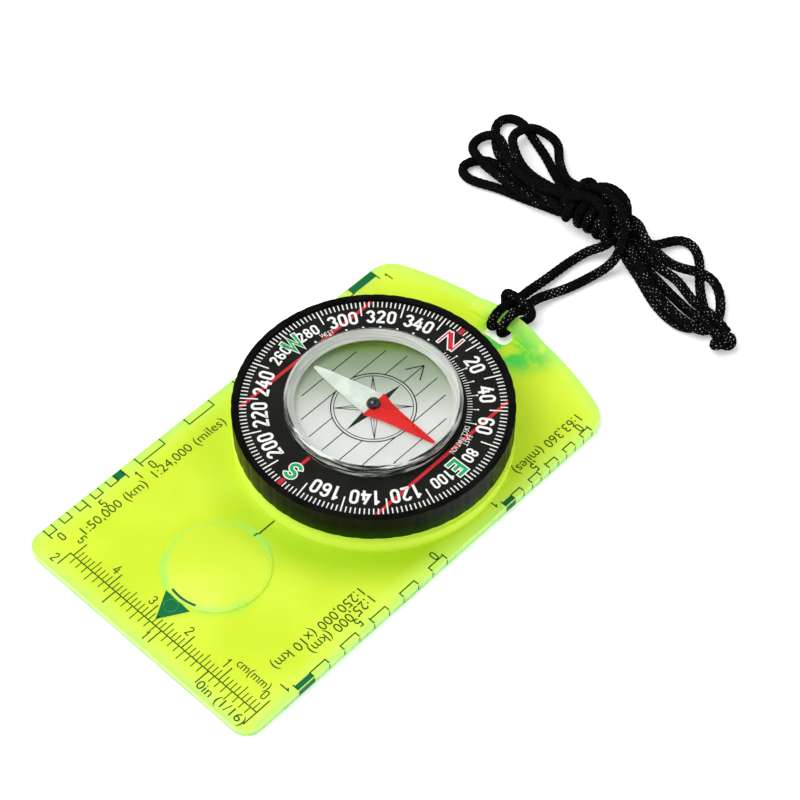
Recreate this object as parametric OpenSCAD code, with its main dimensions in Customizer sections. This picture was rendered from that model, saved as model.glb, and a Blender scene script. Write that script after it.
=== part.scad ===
// Baseplate compass: a clear plate with a ruler and a magnifier, a turning dial that holds a
// liquid-filled capsule, a magnetic needle on a point, and a braided cord tied to the far end.
// The plate's underside is z = 0, and +Y points to the corded end.

/* [Plate] */
// Width of the plate
plate_w = 61; // [56:1:70]
// Length of the plate, ruler edge to the crown of the corded end
plate_l = 106.6; // [104:0.2:112]
// Thickness of the plate
plate_t = 2.2; // [1.8:0.1:3]
// Radius of the shallow arc of the corded end
crown_r = 72; // [60:1:90]
// Corner radius at the corded end
far_corner_r = 6; // [4:0.5:8]
// Corner radius at the ruler edge
near_corner_r = 3.5; // [2:0.5:5]

/* [Magnifier] */
// Radius of the moulded lens
lens_r = 10.5; // [8:0.5:12]
// Height of the lens above the plate
lens_h = 1.3; // [0.9:0.1:2]
// Height of the upright shoulder at the rim of the lens
lens_shoulder = 0.5; // [0.2:0.1:0.7]
// Distance from the ruler edge to the middle of the lens
lens_y = 22; // [18:0.5:24]

/* [Dial] */
// Distance from the ruler edge to the axis of the dial
dial_from_edge = 65; // [62:0.5:67]
// Outer radius of the turning bezel
bezel_r = 27.8; // [27.4:0.1:28]
// Height of the bezel's rim above the table
bezel_top = 12.8; // [12.4:0.1:13.4]
// Number of shallow finger flutes around the bezel
flutes = 48; // [24:4:60]
// Outer radius of the graduated ring
ring_r = 26.4; // [26:0.1:26.4]

/* [Capsule] */
// Outer radius of the clear capsule
capsule_r = 17.5; // [17:0.1:17.8]
// Height of the capsule's top above the table
capsule_top = 15.4; // [15:0.1:16.5]
// Length of the needle from the pivot to each tip
needle_reach = 15; // [13:0.5:15.5]
// Angle of the needle's north tip from +X
needle_angle = 5; // [0:1:360]

/* [Lanyard] */
// Width of the slot for the cord
slot_w = 7; // [6:0.5:8]
// Diameter of the braided cord
cord_d = 2.2; // [1.8:0.1:2.2]

/* [Hidden] */
$fn = 96;
eps = 0.01;

// Plate and boss
dial_y = dial_from_edge - plate_l / 2;
lip_r = 28;
lip_top = 5.2;
step_r = 27;
step_top = 6.3;
hole_r = 20;
recess_r = 22.2;
recess_h = 1.4;
slot_near = 46.3;
bar_near = 50.1;
raise_near = 48.7;
raise_half = 9;
raise_h = 1.4;
relief_half = 4.3;
relief_h = 2.4;

// Bezel and its hub
wall_foot = step_top + 0.3;
wall_t = bezel_r - ring_r - 0.05;
deck_z = 11.4;
deck_t = 1;
hub_r = hole_r - 0.05;
hub_foot = 0.3;
groove_r = 19.3;
groove_z = 0.35;
groove_h = 0.8;
seat_z = 10;
window_r = 16.4;
ring_top = 12.3;
flute_r = 6;
flute_d = 0.08;

// Capsule
base_top = 11.1;
dome_wall = 1;
dome_round = 1.3;
boss_r = 1.6;
boss_top = 11.6;
pin_r = 0.35;
pin_foot = 10.3;
pin_tip = 12.78;
pin_cone = 0.7;

// Needle
blade_z = 12.05;
blade_t = 0.3;
cap_r = 1.45;
cap_neck_r = 1;
cap_foot = 11.9;
jewel_r = 0.7;
jewel_z = 12.3;
jewel_top = 13.2;

// Cord routes, as points along the middle of the cord
hitch_mid = -0.9;
half_hitch = [
    [1.35, 56.5, 2.9], [1.35, 55.3, 3.4], [1.35, 54, 4.4], [1.35, 52, 4.95], [1.35, 50.2, 4.6],
    [1.35, 49, 3.5], [1.35, 48.7, 2.2], [1.35, 49.7, 1.25], [1.35, 51.7, 1.15], [1.7, 53.4, 1.2],
    [2.7, 54.9, 1.9], [3.6, 55.5, 3.4], [3.1, 55.5, 5.2], [1.5, 55.5, 5.8]];
strand_a_route = [
    [-2.25, 56, 3.1], [-2.8, 60, 2.4], [-2.8, 64, 1.7], [-2.7, 68, 1.3], [-2.6, 72, 1.15],
    [-2, 76.3, 1.3], [-0.7, 80.1, 2.3], [1.1, 82.6, 4], [2.2, 83.8, 5.6]];
strand_b_route = [
    [0.45, 56, 3.1], [-0.3, 59.6, 2.5], [0.6, 63.7, 1.6], [2, 67.6, 1.2], [3, 71.5, 1.15],
    [3.9, 74.8, 1.4], [4.9, 77.6, 2.3], [5.6, 80.2, 4], [5.4, 82, 5.6]];
wrap_y = 85;
wrap_z = 6.1;
wrap_r = 6;
wrap_x = [-9.5, 6.5];
hank_h = 6.4;
left_ends = [[-11, 84.5, 3.6], [-36.5, 79, 3], [-39.5, 94.5, 3.8], [-27, 96.5, 3.6]];
right_ends = [[9, 85.5, 3.4], [12.5, 93, 3.8], [28, 84, 4.2], [21, 79, 3.4]];
knot_ends = [[32, 79.5, 1.8], [36.2, 79.5, 1.8], [34.6, 77, 1.7]];
knot_h = 3.2;

// A ring between two radii and two heights
module ring(r_out, r_in, z0, z1) {
    translate([0, 0, z0])
        difference() {
            cylinder(r = r_out, h = z1 - z0);
            translate([0, 0, -1]) cylinder(r = r_in, h = z1 - z0 + 2);
        }
}

// What a round corner takes away: the part of a square that lies outside the circle
module corner_waste(r) {
    difference() {
        square([r + 1, r + 1]);
        circle(r = r);
    }
}

// The waste of one far corner, between the straight side and the crown's arc
module far_corner_waste() {
    cx = plate_w / 2 - far_corner_r;
    cy = sqrt(pow(crown_r - far_corner_r, 2) - cx * cx);
    lean = atan2(cx, cy);
    reach = 2 * far_corner_r;
    translate([cx, plate_l / 2 - crown_r + cy])
        difference() {
            polygon([[0, 0], [reach, 0], [reach, reach], [reach * sin(lean), reach * cos(lean)]]);
            circle(r = far_corner_r);
        }
}

module plate_outline() {
    difference() {
        intersection() {
            square([plate_w, plate_l], center = true);
            translate([0, plate_l / 2 - crown_r]) circle(r = crown_r, $fn = 360);
        }
        for (side = [0, 1]) {
            mirror([side, 0]) far_corner_waste();
            mirror([side, 0])
                translate([plate_w / 2 - near_corner_r, near_corner_r - plate_l / 2])
                    mirror([0, 1]) corner_waste(near_corner_r);
        }
    }
}

// The slot for the cord, with round corners
module slot_outline() {
    corner = 1.5;
    long = bar_near - slot_near;
    translate([0, slot_near + long / 2]) {
        square([slot_w, long - 2 * corner], center = true);
        square([slot_w - 2 * corner, long], center = true);
        for (sx = [-1, 1], sy = [-1, 1])
            translate([sx * (slot_w / 2 - corner), sy * (long / 2 - corner)])
                circle(r = corner, $fn = 48);
    }
}

// The arched thickening over the cord's bar, as a slice of a large cylinder lying along Y
module bar_arch() {
    arch_r = (raise_half * raise_half + raise_h * raise_h) / (2 * raise_h);
    intersection() {
        linear_extrude(plate_t + raise_h + 1) plate_outline();
        translate([-plate_w / 2, raise_near, plate_t / 2])
            cube([plate_w, plate_l, raise_h + plate_t]);
        translate([0, 0, plate_t + raise_h - arch_r])
            rotate([-90, 0, 0]) cylinder(r = arch_r, h = plate_l, $fn = 360);
    }
}

// The magnifier: an upright shoulder under a low dome, which is the cap of a large sphere
module lens_cap() {
    rise = lens_h - lens_shoulder;
    ball_r = (lens_r * lens_r + rise * rise) / (2 * rise);
    translate([0, lens_y - plate_l / 2, plate_t - eps])
        intersection() {
            cylinder(r = lens_r, h = lens_h + 1);
            translate([0, 0, lens_h + eps - ball_r]) sphere(r = ball_r, $fn = 360);
        }
}

module baseplate() {
    color("yellowgreen")
        difference() {
            union() {
                linear_extrude(plate_t) plate_outline();
                bar_arch();
                lens_cap();
                translate([0, dial_y, 0]) {
                    ring(lip_r, hole_r, plate_t - eps, lip_top);
                    ring(step_r, hole_r, lip_top - eps, step_top);
                }
            }
            translate([0, dial_y, -1]) {
                cylinder(r = hole_r, h = step_top + 2);
                cylinder(r = recess_r, h = recess_h + 1);
            }
            translate([0, 0, -1]) linear_extrude(10) slot_outline();
            translate([-relief_half, bar_near - 1, -1])
                cube([2 * relief_half, plate_l, relief_h + 1]);
        }
}

// The turning ring: a fluted wall, and a deck that carries the dial and the capsule
module bezel() {
    color([0.1, 0.1, 0.1])
        translate([0, dial_y, 0])
            difference() {
                union() {
                    ring(bezel_r, ring_r + 0.05, wall_foot, bezel_top);
                    ring(bezel_r - wall_t / 2, capsule_r, deck_z - deck_t, deck_z);
                }
                for (i = [0 : flutes - 1])
                    rotate([0, 0, i * 360 / flutes])
                        translate([bezel_r + flute_r - flute_d, 0, wall_foot - 1])
                            cylinder(r = flute_r, h = bezel_top);
            }
}

// The clear sleeve under the deck, which seats the capsule and turns in the plate's hole
module hub() {
    color([0.85, 0.9, 0.85])
        translate([0, dial_y, 0])
            difference() {
                ring(hub_r, window_r, hub_foot, deck_z - deck_t);
                translate([0, 0, seat_z]) cylinder(r = capsule_r, h = deck_z);
                ring(hub_r + 1, groove_r, groove_z, groove_z + groove_h);
            }
}

module dial_ring() {
    color([0.08, 0.08, 0.08])
        translate([0, dial_y, 0]) ring(ring_r, capsule_r, deck_z, ring_top);
}

// A split ring in the hub's groove that holds the bezel to the plate from below
module retaining_ring() {
    gap = 4;
    color("dimgray")
        translate([0, dial_y, 0])
            difference() {
                ring(recess_r - 0.4, groove_r, groove_z, groove_z + groove_h);
                translate([-gap / 2, 0, -1]) cube([gap, recess_r, 4]);
            }
}

// The clear floor of the capsule, with the boss that holds the pivot
module capsule_base() {
    color([0.85, 0.9, 0.85])
        translate([0, dial_y, 0])
            difference() {
                union() {
                    translate([0, 0, seat_z]) cylinder(r = capsule_r, h = base_top - seat_z);
                    translate([0, 0, seat_z]) cylinder(r = boss_r, h = boss_top - seat_z);
                }
                translate([0, 0, pin_foot]) cylinder(r = pin_r, h = 5, $fn = 48);
            }
}

module dome_profile(r, top, round_r) {
    square([r - round_r, top]);
    square([r, top - round_r]);
    translate([r - round_r, top - round_r]) circle(r = round_r, $fn = 64);
}

// The clear cover of the capsule: steep walls, a flat top and a round edge
module capsule_dome() {
    high = capsule_top - base_top;
    color([0.9, 0.95, 0.95])
        translate([0, dial_y, base_top])
            rotate_extrude()
                difference() {
                    dome_profile(capsule_r, high, dome_round);
                    translate([0, -1])
                        dome_profile(capsule_r - dome_wall, high + 1 - dome_wall, dome_round / 2);
                }
}

module pivot_pin() {
    color("silver")
        translate([0, dial_y, 0])
            rotate_extrude($fn = 48)
                polygon([[0, pin_foot], [pin_r, pin_foot], [pin_r, pin_tip - pin_cone], [0, pin_tip]]);
}

// One half of the needle as an outline along +X, from its half widths at even steps
module blade(half_widths) {
    last = len(half_widths) - 1;
    upper = [for (i = [0 : last]) [i * needle_reach / last, half_widths[i]]];
    lower = [for (i = [last : -1 : 0]) [i * needle_reach / last, -half_widths[i]]];
    translate([0, 0, blade_z])
        linear_extrude(blade_t)
            difference() {
                polygon(concat(upper, lower));
                circle(r = cap_neck_r, $fn = 48);
            }
}

module needle_red() {
    color("red")
        translate([0, dial_y, 0])
            rotate([0, 0, needle_angle]) blade([3.3, 2.3, 1.7, 1.2, 0.75, 0.25]);
}

module needle_white() {
    color("white")
        translate([0, dial_y, 0])
            rotate([0, 0, needle_angle + 180]) blade([2.9, 2.6, 2.1, 1.6, 1.1, 0.3]);
}

// The black button over the needle: a dome above the blades and a neck through them
module needle_cap() {
    high = 1.35;
    color([0.05, 0.05, 0.05])
        translate([0, dial_y, 0])
            difference() {
                union() {
                    translate([0, 0, cap_foot])
                        cylinder(r = cap_neck_r, h = blade_z + blade_t - cap_foot + eps, $fn = 48);
                    translate([0, 0, blade_z + blade_t])
                        rotate_extrude($fn = 64)
                            intersection() {
                                square([cap_r, high]);
                                translate([0, high - cap_r]) circle(r = cap_r, $fn = 64);
                            }
                }
                translate([0, 0, cap_foot - 1])
                    cylinder(r = jewel_r, h = jewel_top - cap_foot + 1, $fn = 48);
            }
}

// The bearing cup that sits on the point of the pivot
module jewel() {
    color("crimson")
        translate([0, dial_y, 0])
            rotate_extrude($fn = 48)
                polygon([[0, jewel_top], [jewel_r, jewel_top], [jewel_r, jewel_z],
                    [0.6, jewel_z], [0, pin_tip + 0.04]]);
}

// A tube of a given diameter along a list of points, as one closed mesh
module sweep(path, d, sides = 8) {
    last = len(path) - 1;
    flow = [for (i = [0 : last])
        let (v = path[min(i + 1, last)] - path[max(i - 1, 0)]) v / norm(v)];
    points = [for (i = [0 : last])
        let (
            t = flow[i],
            hint = abs(t[2]) < 0.8 ? [0, 0, 1] : [1, 0, 0],
            s = cross(hint, t) / norm(cross(hint, t)),
            u = cross(t, s))
        for (k = [0 : sides - 1])
            path[i] + d / 2 * (cos(360 * k / sides) * s + sin(360 * k / sides) * u)];
    walls = [for (i = [0 : last - 1], k = [0 : sides - 1])
        let (a = i * sides + k, b = i * sides + (k + 1) % sides)
        [a, b, b + sides, a + sides]];
    first = [for (k = [sides - 1 : -1 : 0]) k];
    end = [for (k = [0 : sides - 1]) last * sides + k];
    polyhedron(points = points, faces = concat([first], walls, [end]), convexity = 8);
}

// The cow hitch over the bar: two strands over and under it, and the bight that crosses them
module hitch() {
    left = [for (p = half_hitch) [hitch_mid - p[0], p[1], p[2]]];
    n = len(half_hitch);
    right = [for (i = [n - 1 : -1 : 0])
        [hitch_mid + half_hitch[i][0], half_hitch[i][1], half_hitch[i][2]]];
    color([0.06, 0.06, 0.06]) sweep(concat(left, right), cord_d - 0.1);
}

module strand_a() {
    color([0.06, 0.06, 0.06]) sweep(strand_a_route, cord_d);
}

module strand_b() {
    color([0.06, 0.06, 0.06]) sweep(strand_b_route, cord_d);
}

// The barrel of turns around the middle of the folded cord
module wrap() {
    long = wrap_x[1] - wrap_x[0];
    bulge_r = 12;
    color([0.05, 0.05, 0.05])
        translate([wrap_x[0], wrap_y, wrap_z])
            rotate([0, 90, 0])
                rotate_extrude()
                    intersection() {
                        square([wrap_r, long]);
                        translate([wrap_r - bulge_r, long / 2]) circle(r = bulge_r, $fn = 180);
                    }
}

// A bundle of loops as one plain solid around round ends, each [x, y, radius]
module bundle(ends, high) {
    translate([0, 0, 0.05])
        linear_extrude(high)
            hull()
                for (e = ends)
                    translate([e[0], e[1]]) circle(r = e[2], $fn = 32);
}

module hank_left() {
    color([0.07, 0.07, 0.07]) bundle(left_ends, hank_h);
}

module hank_right() {
    color([0.07, 0.07, 0.07]) bundle(right_ends, hank_h);
}

module end_knot() {
    color([0.05, 0.05, 0.05]) bundle(knot_ends, knot_h);
}

baseplate();
bezel();
hub();
dial_ring();
retaining_ring();
capsule_base();
capsule_dome();
pivot_pin();
needle_red();
needle_white();
needle_cap();
jewel();
hitch();
strand_a();
strand_b();
wrap();
hank_left();
hank_right();
end_knot();
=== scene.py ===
"""The looks of the baseplate compass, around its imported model. Lengths are in millimetres, and
MM turns them into metres."""

import math

import bmesh
import bpy
import numpy as np
from mathutils import Matrix, Vector


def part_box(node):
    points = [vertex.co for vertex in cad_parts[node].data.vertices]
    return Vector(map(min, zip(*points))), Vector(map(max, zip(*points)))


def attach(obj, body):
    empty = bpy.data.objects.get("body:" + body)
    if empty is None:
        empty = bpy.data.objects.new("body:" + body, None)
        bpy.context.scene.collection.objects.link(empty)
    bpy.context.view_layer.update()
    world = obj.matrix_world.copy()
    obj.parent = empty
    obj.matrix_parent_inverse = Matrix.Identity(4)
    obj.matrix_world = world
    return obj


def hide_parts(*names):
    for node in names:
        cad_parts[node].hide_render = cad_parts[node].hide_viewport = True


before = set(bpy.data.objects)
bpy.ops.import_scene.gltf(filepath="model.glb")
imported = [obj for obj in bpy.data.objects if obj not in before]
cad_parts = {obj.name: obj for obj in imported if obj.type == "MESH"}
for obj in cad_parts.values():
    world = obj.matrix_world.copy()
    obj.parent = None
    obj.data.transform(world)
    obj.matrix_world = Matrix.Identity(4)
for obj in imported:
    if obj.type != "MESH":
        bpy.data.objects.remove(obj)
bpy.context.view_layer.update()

MM = 0.001


def low(node):
    """The lowest corner of a CAD node, in millimetres."""
    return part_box(node)[0] / MM


def high(node):
    """The highest corner of a CAD node, in millimetres."""
    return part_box(node)[1] / MM


# ---------------- places, from the frame and the CAD
PLATE_T = 2.2
PLATE_HALF_W = high("baseplate").x
PLATE_FAR = high("baseplate").y
PLATE_NEAR = low("baseplate").y
# Radius of the plate's crowned far end
CROWN_R = 72
LENS_R = 10.5
LENS_Y = PLATE_NEAR + 22
# Height of the lens over the plate where its print lies, near its rim
LENS_PRINT_RISE = 0.62
DIAL_Y = (low("dial_ring").y + high("dial_ring").y) / 2
DIAL_TOP = high("dial_ring").z
# Height of the pivot's boss over the capsule's floor
BOSS_RISE = 0.5
FLOOR_TOP = high("capsule_base").z - BOSS_RISE
CAPSULE_TOP = high("capsule_dome").z
CAPSULE_R = high("capsule_dome").x
# Thickness of a print
INK = 0.03
# How far below the capsule's top the moulded rim's inner face ends and the bare wall begins
RIM_DROP = 2.8
# Level direction to the side that the main view looks from. Some painted shade and light runs along it,
# fixed on the object: it stays in place in other views, and that on the dial turns with it.
FRONT = (0.689, -0.725)

# ---------------- camera
AZIMUTH = math.radians(43.53)
ELEVATION = math.radians(52.19)
DISTANCE = 474.33
AIM_RIGHT = 5.153
AIM_UP = 8.462
LENS = 107.27


def make_camera():
    right = Vector((math.cos(AZIMUTH), math.sin(AZIMUTH), 0))
    back = Vector((
        math.sin(AZIMUTH) * math.cos(ELEVATION),
        -math.cos(AZIMUTH) * math.cos(ELEVATION),
        math.sin(ELEVATION)))
    up = back.cross(right)
    data = bpy.data.cameras.new("camera")
    data.lens = LENS
    data.sensor_width = 36
    data.clip_start = 0.01
    camera = bpy.data.objects.new("camera", data)
    bpy.context.scene.collection.objects.link(camera)
    place = right * AIM_RIGHT + up * AIM_UP + back * DISTANCE + Vector((0, DIAL_Y, 0))
    turn = Matrix((right, up, back)).transposed().to_4x4()
    camera.matrix_world = Matrix.Translation(place * MM) @ turn
    bpy.context.scene.camera = camera


make_camera()


# ---------------- materials: small helpers
class Surface:
    """A node material with one Principled shader, and short calls for the nodes that feed it."""

    def __init__(self, name, **sockets):
        self.material = bpy.data.materials.new(name)
        self.material.use_nodes = True
        self.nodes = self.material.node_tree.nodes
        self.links = self.material.node_tree.links
        self.shader = self.nodes["Principled BSDF"]
        for socket, value in sockets.items():
            self.shader.inputs[socket.replace("_", " ")].default_value = value

    def node(self, kind, inputs=(), **settings):
        made = self.nodes.new("ShaderNode" + kind)
        for key, value in settings.items():
            setattr(made, key, value)
        for key, value in dict(inputs).items():
            self.feed(made.inputs[key], value)
        return made

    def feed(self, socket, value):
        if isinstance(value, bpy.types.NodeSocket):
            self.links.new(value, socket)
        else:
            socket.default_value = value

    def set(self, name, value):
        self.feed(self.shader.inputs[name], value)

    def place(self):
        return self.node("TexCoord").outputs["Object"]

    def noise(self, size_mm, detail=4, vector=None):
        """Noise from 0 to 1 whose blobs are about size_mm across."""
        vector = vector or self.place()
        inputs = {"Vector": vector, "Scale": 1 / (size_mm * MM), "Detail": detail}
        return self.node("TexNoise", inputs).outputs["Fac"]

    def math(self, operation, a, b=0.0):
        return self.node("Math", {0: a, 1: b}, operation=operation).outputs[0]

    def span(self, value, low_in, high_in, low_out=0.0, high_out=1.0):
        """value from low_in..high_in to low_out..high_out in a smooth step, held at the ends."""
        inputs = {"Value": value, "From Min": low_in, "From Max": high_in,
                  "To Min": low_out, "To Max": high_out}
        return self.node("MapRange", inputs, interpolation_type="SMOOTHSTEP").outputs["Result"]

    def offset(self, x_mm, y_mm):
        """The level vector from a vertical axis to the shaded point."""
        x, y, _ = self.node("SeparateXYZ", {0: self.place()}).outputs
        x, y = self.math("SUBTRACT", x, x_mm * MM), self.math("SUBTRACT", y, y_mm * MM)
        return self.node("CombineXYZ", {0: x, 1: y}).outputs[0]

    def away_from(self, x_mm, y_mm):
        """How far the shaded point is from a vertical axis."""
        return self.node("VectorMath", {0: self.offset(x_mm, y_mm)}, operation="LENGTH").outputs["Value"]

    def forward(self):
        """How far the shaded point is from the dial's axis towards the front."""
        inputs = {0: self.offset(0, DIAL_Y), 1: (*FRONT, 0)}
        return self.node("VectorMath", inputs, operation="DOT_PRODUCT").outputs["Value"]

    def mix(self, factor, a, b):
        made = self.node("Mix", data_type="RGBA")
        self.feed(made.inputs[0], factor)
        self.feed(made.inputs[6], a)
        self.feed(made.inputs[7], b)
        return made.outputs[2]

    def bump(self, height, depth_mm, strength=0.3):
        inputs = {"Height": height, "Distance": depth_mm * MM, "Strength": strength}
        self.set("Normal", self.node("Bump", inputs).outputs["Normal"])


def rgb(red, green, blue):
    """A colour given as 0..255 screen values, as the linear colour that nodes use."""
    def linear(value):
        value /= 255
        return value / 12.92 if value <= 0.04045 else ((value + 0.055) / 1.055) ** 2.4
    return (linear(red), linear(green), linear(blue), 1)


def moulded(name, colour, roughness, grain_mm=0.5, depth_mm=0.004, **sockets):
    """A plastic or paint with a fine grain, uneven gloss and slightly uneven colour."""
    s = Surface(name, **sockets)
    patches = s.noise(grain_mm * 12, 5)
    darker = tuple(c * 0.82 for c in colour[:3]) + (1,)
    s.set("Base Color", s.mix(s.span(patches, 0.35, 0.65), darker, colour))
    s.set("Roughness", s.span(patches, 0.3, 0.7, roughness * 0.8, roughness * 1.25))
    s.bump(s.noise(grain_mm, 3), depth_mm)
    return s.material


# ---------------- pieces: small helpers
def add(name, mesh, body, material, replaces=()):
    """Makes a mesh into a piece that rides on a body and stands for CAD nodes."""
    piece = bpy.data.objects.new(name, mesh)
    bpy.context.scene.collection.objects.link(piece)
    mesh.materials.append(material)
    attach(piece, body)
    if replaces:
        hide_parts(*replaces)
    return piece


def outward(mesh):
    """Turns the faces of a closed mesh outwards."""
    bm = bmesh.new()
    bm.from_mesh(mesh)
    bmesh.ops.recalc_face_normals(bm, faces=bm.faces)
    bm.to_mesh(mesh)
    bm.free()


def mesh_of(name, points, faces, angle=40):
    """A mesh from points in millimetres, smooth except at edges sharper than the angle."""
    mesh = bpy.data.meshes.new(name)
    mesh.from_pydata([[c * MM for c in p] for p in points], [], faces)
    mesh.validate()
    outward(mesh)
    mesh.shade_smooth()
    mesh.set_sharp_from_angle(angle=math.radians(angle))
    return mesh


# ---------------- cord
CORD_D = 2.2
# Yarns in each of the braid's two sets, the length of their turn and the depth of the gaps
CARRIERS = 6
BRAID_TURN = 8.0
RELIEF = 0.2
# Lowest height of the cord's middle, on the table
CORD_LOW = 1.12

HITCH_MID = -0.9
HALF_HITCH = [
    (1.35, 56.5, 2.9), (1.35, 55.3, 3.4), (1.35, 54, 4.4), (1.35, 52, 4.95), (1.35, 50.2, 4.6),
    (1.35, 49, 3.5), (1.35, 48.7, 2.2), (1.35, 49.7, 1.25), (1.35, 51.7, 1.15), (1.7, 53.4, 1.2),
    (2.7, 54.9, 1.9), (3.6, 55.5, 3.4), (3.1, 55.5, 5.2), (1.5, 55.5, 5.8)]
STRAND_A = [
    (-2.25, 56, 3.1), (-2.8, 60, 2.4), (-2.8, 64, 1.7), (-2.7, 68, 1.3), (-2.6, 72, 1.15),
    (-2, 76.3, 1.3), (-0.7, 80.1, 2.3), (1.1, 82.6, 4), (2.2, 83.8, 5.6)]
STRAND_B = [
    (0.45, 56, 3.1), (-0.3, 59.6, 2.5), (0.6, 63.7, 1.6), (2, 67.6, 1.2), (3, 71.5, 1.15),
    (3.9, 74.8, 1.4), (4.9, 77.6, 2.3), (5.6, 80.2, 4), (5.4, 82, 5.6)]
KNOT_Y = 85.3
KNOT_Z = 5.3
KNOT_R = 4.2
CORE_R = 2.3
OVER_A = [
    (3, 84.8, 7.6), (1.6, 87, 8.8), (-1.2, 88.5, 9.4), (-4.5, 89.1, 9.3), (-7.6, 88.4, 8.6),
    (-10.2, 86.8, 7)]
OVER_B = [
    (4.4, 83.6, 8.6), (2.4, 84.8, 10.2), (-0.8, 86.1, 11.2), (-4.4, 86.7, 11.3), (-7.8, 86, 10.4),
    (-10.4, 84.8, 8.4)]
OVER_W = [
    (1, 81.8, 8.8), (-1, 83, 10.8), (-4.2, 83.9, 11.5), (-7.6, 83.4, 10.6), (-10.2, 82.3, 8.2),
    (-11.6, 82.6, 6)]

LEFT_B = [
    (-14.6, 87.1, 4), (-18.2, 89.3, 3), (-22.2, 92.2, 2), (-24.8, 95.9, 1.4), (-26.4, 98.2, 1.2),
    (-28.8, 98.9, 1.2), (-31.8, 98, 1.3), (-34, 95.8, 2.4), (-35.1, 93, 3.3), (-34.6, 90, 3.5),
    (-32.4, 87.4, 3.5), (-28.9, 85.7, 3.7), (-24.5, 84.3, 4.2), (-19.7, 83.9, 4.8), (-14.7, 83.9, 5.4)]
RIGHT_E = [
    (7.5, 86.7, 2.6), (8.5, 89, 1.8), (9.1, 93.1, 1.2), (10.9, 95.7, 1.2), (13.8, 95.6, 1.2),
    (16.8, 93.4, 1.2), (19.4, 90.2, 1.2), (21.9, 86.7, 1.2), (24.8, 84.2, 1.2), (27.6, 82.2, 1.2),
    (29.5, 79.3, 1.2), (28.2, 76.4, 1.2), (25, 75.5, 1.2), (21.6, 75.9, 1.2), (17.8, 76.9, 1.2),
    (13.9, 78.8, 1.2), (10.1, 80.9, 1.6), (7, 82.5, 3)]
LEFT_D = [
    (-12.3, 82.5, 4.4), (-18.8, 81.6, 3.4), (-26, 83, 1.8), (-31, 83.9, 1.6), (-34.8, 83.4, 2.2),
    (-37.6, 81.4, 1.6), (-38.4, 78.5, 1.2), (-36.6, 76.2, 1.2), (-33.6, 76, 1.2),
    (-30.7, 77.6, 1.2), (-26.8, 79.3, 1.2), (-21.6, 80.3, 1.2),
    (-16.3, 82, 1.3), (-11.6, 82.6, 2.2)]
TIP_A = [
    (8.2, 82.7, 4.5), (13.1, 82.2, 2.4), (17.7, 81.4, 1.3), (22.4, 80.7, 1.2), (27.1, 79.9, 1.8),
    (31.3, 79.1, 2.4), (33.6, 78.8, 2.2)]
LEFT_A = [
    (-13.2, 85.7, 3), (-17.3, 88.6, 2), (-21.3, 91, 1.6), (-26.4, 93.2, 1.2),
    (-30.4, 94.7, 1.2), (-33.5, 96.2, 1.2), (-36.6, 97.7, 1.2), (-39.8, 97.4, 1.2),
    (-41.6, 95, 1.2), (-40.8, 91.9, 1.2), (-37.4, 88.8, 1.3), (-32.3, 86, 1.4),
    (-27.8, 84.4, 1.4), (-22.2, 83.6, 1.6), (-15.3, 83.8, 2.6)]
RIGHT_F = [
    (7.8, 84, 6), (12.7, 83.9, 4.6), (15.8, 85.9, 3.4), (19, 88.1, 3.4), (21.9, 89.7, 3.4),
    (24.6, 89.7, 2.6), (27, 87.9, 1.3), (29.4, 84.8, 1.2), (31.2, 81.4, 1.8), (30.9, 78, 2.6),
    (28.4, 76, 3.4), (25, 75.9, 3.4), (21, 76.8, 3.4), (16.3, 78.2, 3.4), (11.9, 79.9, 3.8), (8.1, 81.8, 5)]
LEFT_C = [
    (-11.7, 83, 7), (-17.1, 81.6, 6.4), (-23.4, 82.1, 5.2), (-29.6, 85, 3.6), (-34, 88.2, 2.2),
    (-37.2, 89.8, 1.4), (-40.3, 88.8, 1.2), (-41.2, 85.7, 1.2), (-39.4, 82.9, 1.6),
    (-35.6, 81, 2.6), (-30, 80.3, 3.2), (-23, 79.9, 3.4), (-15.9, 81.6, 3.6)]
TIP_B = [
    (8.4, 83.8, 5), (13.6, 83.2, 4), (17.6, 84.6, 3), (20.6, 83.4, 2.4), (24, 81.8, 2.4),
    (27.6, 80, 3), (31, 79.1, 3.4), (34.2, 80.1, 2.4)]


def lane(number, left_to_right):
    """Two points of one of the eight strands that run along inside the knot, middle first."""
    angle = math.radians(360 / 7 * number)
    radius = CORE_R if number else 0
    y = KNOT_Y + radius * math.cos(angle)
    z = KNOT_Z + radius * math.sin(angle)
    points = [(-8, y, z), (-2.5, y, z), (3, y, z)]
    return points if left_to_right else points[::-1]


def turns(x_from, x_to, from_deg, to_deg, radius=KNOT_R, per_turn=12):
    """Points of a winding round the knot's axis."""
    count = max(4, round(abs(to_deg - from_deg) / 360 * per_turn))
    points = []
    for i in range(count + 1):
        share = i / count
        angle = math.radians(from_deg + share * (to_deg - from_deg))
        x = x_from + share * (x_to - x_from)
        points.append((x, KNOT_Y + radius * math.cos(angle), KNOT_Z + radius * math.sin(angle)))
    return points


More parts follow.
